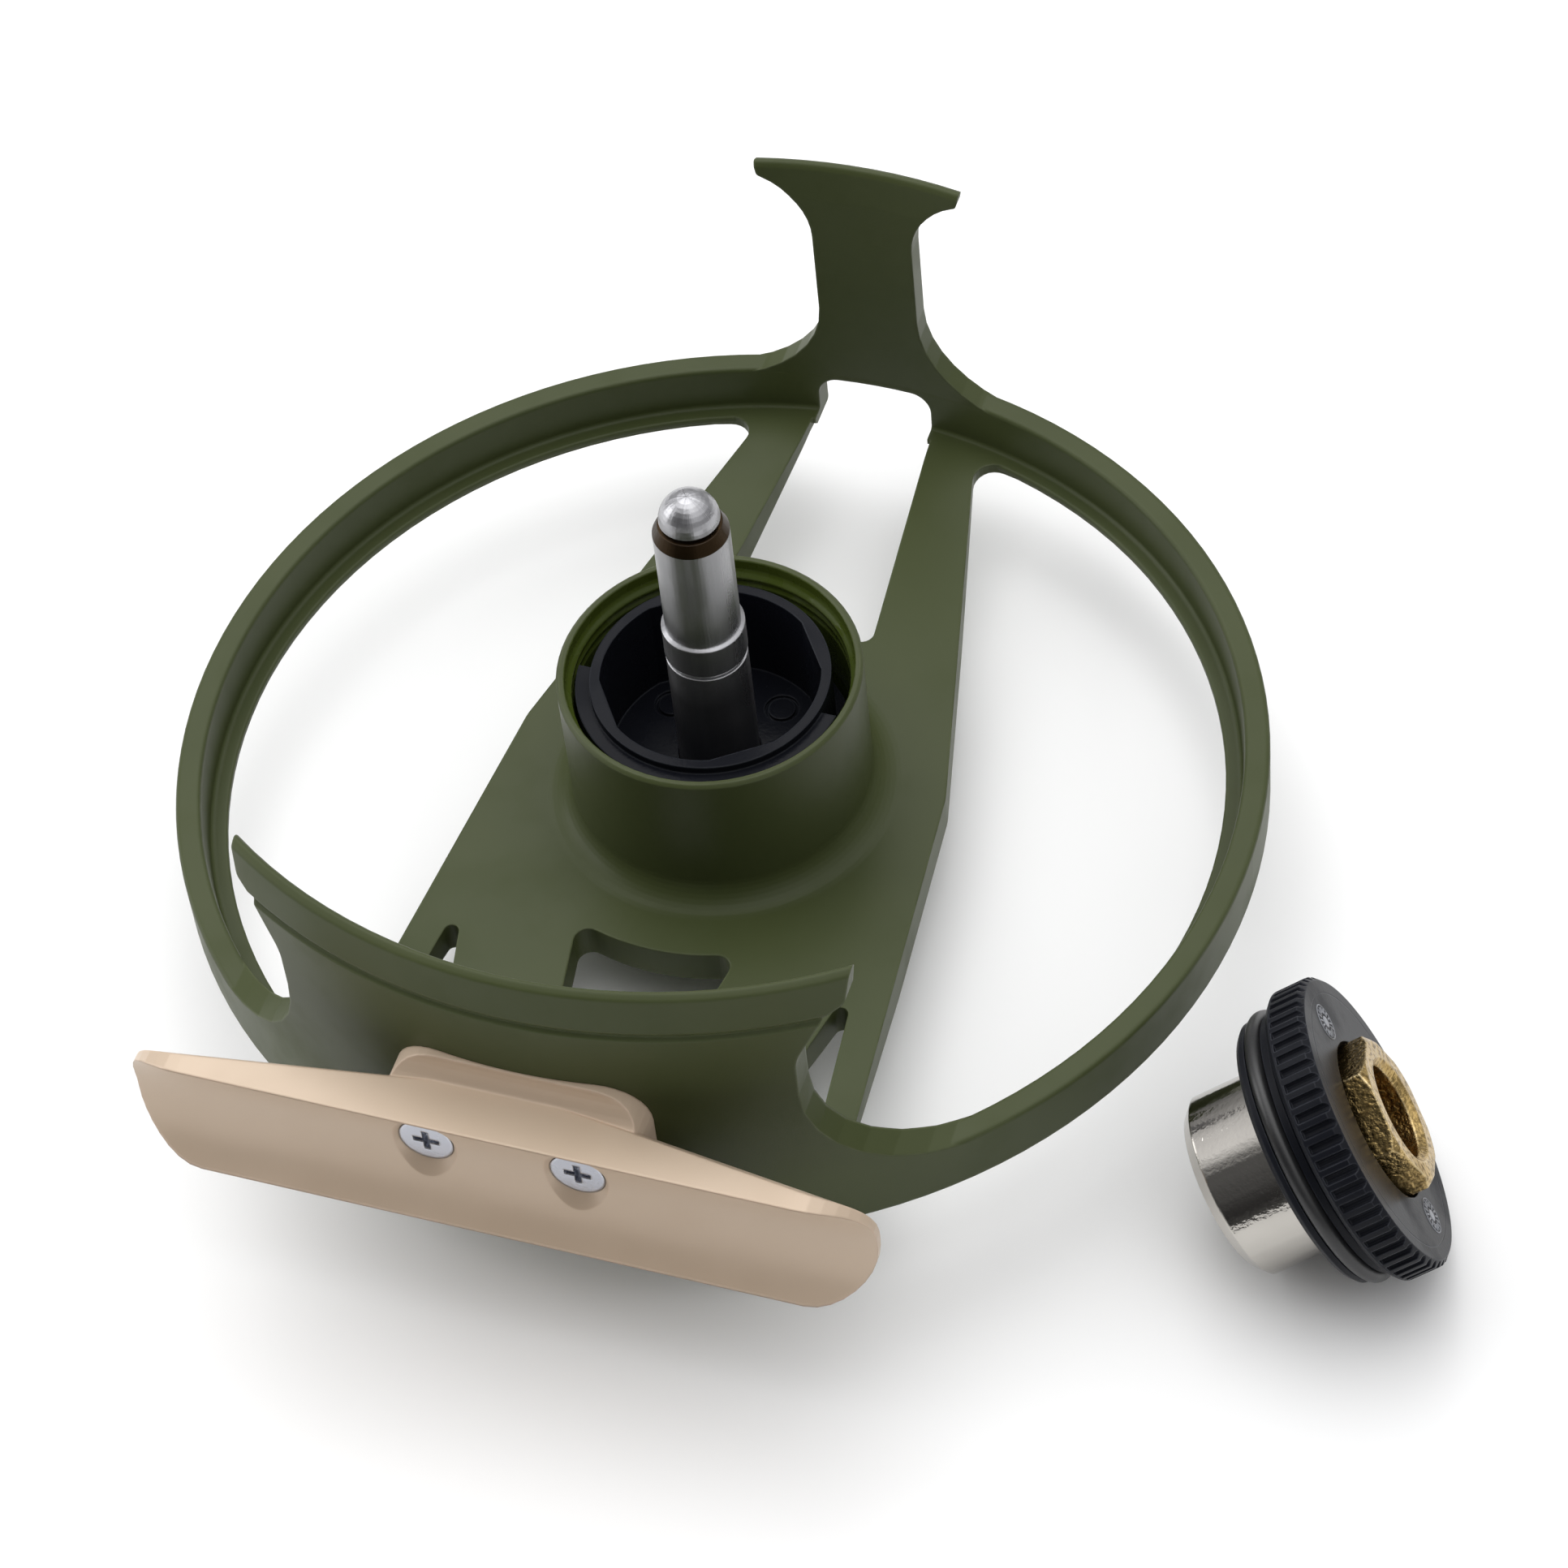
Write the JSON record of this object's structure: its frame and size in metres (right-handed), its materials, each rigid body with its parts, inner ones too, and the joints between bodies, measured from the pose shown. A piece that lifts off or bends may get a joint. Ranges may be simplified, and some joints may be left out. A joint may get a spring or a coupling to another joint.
{
  "type": "fly reel frame with clutch cartridge",
  "caption": "Spoked reel frame with foot, hub cup, spindle and rear drag knob, its spool taken off, and the one-way clutch cartridge lying beside it.",
  "frame": {"origin": "on the spindle axis, in the flat outer face of the drag knob, on which the reel stands", "axes": "+Z along the spindle towards its domed tip, -Y towards the reel foot, +X to the right of the foot when looking at the open side"},
  "size_m": [0.1251, 0.106, 0.0487],
  "materials": {
    "olive_paint": "satin olive-green hard coat",
    "foot_anodise": "satin tan anodise",
    "knob_anodise": "satin brown-green anodise",
    "zinc_steel": "satin zinc",
    "polished_steel": "polished, lightly turned",
    "bright_steel": "ground",
    "chrome_can": "bright nickel",
    "brass": "machined, dulled",
    "bronze": "sintered bronze",
    "black_moulding": "semi-gloss glass-filled nylon",
    "acetal": "smooth",
    "carbon_washer": "woven carbon",
    "seal_rubber": "matte"
  },
  "bodies": {
    "frame": {"reel_frame": "olive_paint", "reel_foot": "foot_anodise", "foot_screws": "zinc_steel", "spindle": "polished_steel", "spindle_nut": "zinc_steel", "lock_washer": "zinc_steel", "click_plate": "bright_steel", "steel_disc": "bright_steel"},
    "drag_knob": {"drag_knob": "knob_anodise", "knob_cap": "olive_paint", "knob_screws": "zinc_steel", "knob_nut": "brass", "spring_washer": "bright_steel", "click_ball": "bright_steel", "click_spring": "bright_steel"},
    "pressure_plate": {"pressure_plate": "bright_steel", "push_pins": "bright_steel", "thrust_ring": "acetal"},
    "brake": {"brake_cup": "black_moulding", "drive_hub": "bright_steel", "brake_bush": "bronze", "hub_seal": "seal_rubber", "lower_washer": "carbon_washer", "upper_washer": "carbon_washer"},
    "cartridge": {"retaining_ring": "black_moulding", "face_ring": "black_moulding", "neck_seal": "seal_rubber"},
    "clutch": {"clutch_can": "chrome_can", "clutch_cage": "acetal", "clutch_rollers": "bright_steel", "end_washer": "bright_steel"},
    "hex_drive": {"hex_drive": "brass", "drive_bush": "bronze"}
  },
  "joints": [
    {"name": "drag_turn", "type": "hinge", "parent": "frame", "child": "drag_knob", "pos_m": [0, 0, 0], "axis": [0, 0, 1], "range_deg": [0, 330]},
    {"name": "plate_press", "type": "slide", "parent": "frame", "child": "pressure_plate", "axis": [0, 0, 1], "range_m": [0, 0.0003]},
    {"name": "brake_turn", "type": "hinge", "parent": "frame", "child": "brake", "pos_m": [0, 0, 0], "axis": [0, 0, 1], "continuous": true},
    {"name": "cartridge_lift", "type": "slide", "parent": "frame", "child": "cartridge", "axis": [0, 0, 1], "range_m": [0, 0.06]},
    {"name": "clutch_turn", "type": "hinge", "parent": "cartridge", "child": "clutch", "pos_m": [0.06439, -0.02589, 0.01204], "axis": [0.8015, 0.3909, 0.4525], "continuous": true},
    {"name": "drive_turn", "type": "hinge", "parent": "clutch", "child": "hex_drive", "pos_m": [0.06439, -0.02589, 0.01204], "axis": [0.8015, 0.3909, 0.4525], "continuous": true}
  ],
  "couplings": [
    {"joint": "plate_press", "follows": "drag_turn", "m_per_rad": 0.000052082}
  ]
}
